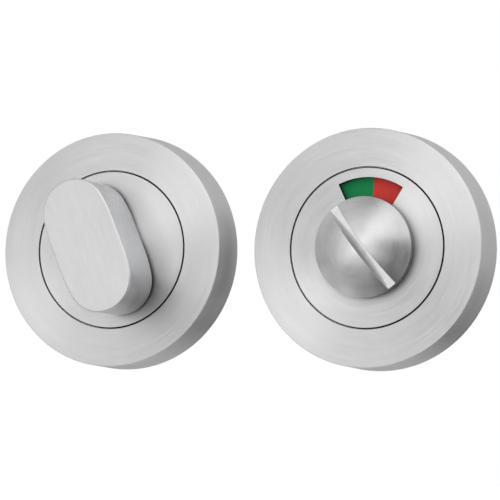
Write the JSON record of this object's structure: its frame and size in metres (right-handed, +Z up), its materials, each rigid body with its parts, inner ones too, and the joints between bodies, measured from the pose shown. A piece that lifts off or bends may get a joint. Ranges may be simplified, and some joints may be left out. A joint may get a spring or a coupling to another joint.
{
  "type": "bathroom thumb turn lock",
  "caption": "Round bathroom door rose set: an inside thumb turn with its square spindle, and an outside coin release with a green and red indicator window.",
  "frame": {"origin": "on the thumb turn's axis, in the plane of the door's face", "axes": "+X to the right towards the outside half, +Y into the door along the spindle, +Z up"},
  "size_m": [0.1115, 0.0681, 0.052],
  "materials": {
    "satin_steel": "satin brushed stainless steel",
    "zinc_casting": "grey passivated zinc casting",
    "bearing_plastic": "natural acetal",
    "spring_steel": "dark oiled spring steel",
    "plain_steel": "bright zinc plated steel",
    "green_enamel": "green enamel",
    "red_enamel": "red enamel"
  },
  "bodies": {
    "roses": {"inside_cover_rose": "satin_steel", "inside_centre_plate": "satin_steel", "inside_base_rose": "zinc_casting", "inside_bush": "bearing_plastic", "inside_spring_washer": "spring_steel", "outside_cover_rose": "satin_steel", "outside_window_plate": "satin_steel", "outside_base_rose": "zinc_casting", "outside_bush": "bearing_plastic", "outside_spring_washer": "spring_steel"},
    "inside_turn": {"thumb_turn": "satin_steel", "spindle": "plain_steel", "spindle_pin": "spring_steel", "inside_thrust_washer": "plain_steel", "inside_circlip": "spring_steel"},
    "outside_turn": {"coin_release": "satin_steel", "indicator_disc": "plain_steel", "green_field": "green_enamel", "red_field": "red_enamel", "outside_thrust_washer": "plain_steel", "outside_circlip": "spring_steel"}
  },
  "joints": [
    {"name": "thumb_turn_axis", "type": "hinge", "parent": "roses", "child": "inside_turn", "pos_m": [0, 0, 0], "axis": [0, 1, 0], "range_deg": [-66.7, 23.3]},
    {"name": "coin_release_axis", "type": "hinge", "parent": "roses", "child": "outside_turn", "pos_m": [0.0595, 0, 0], "axis": [0, 1, 0], "range_deg": [-48.3, 41.7]}
  ]
}
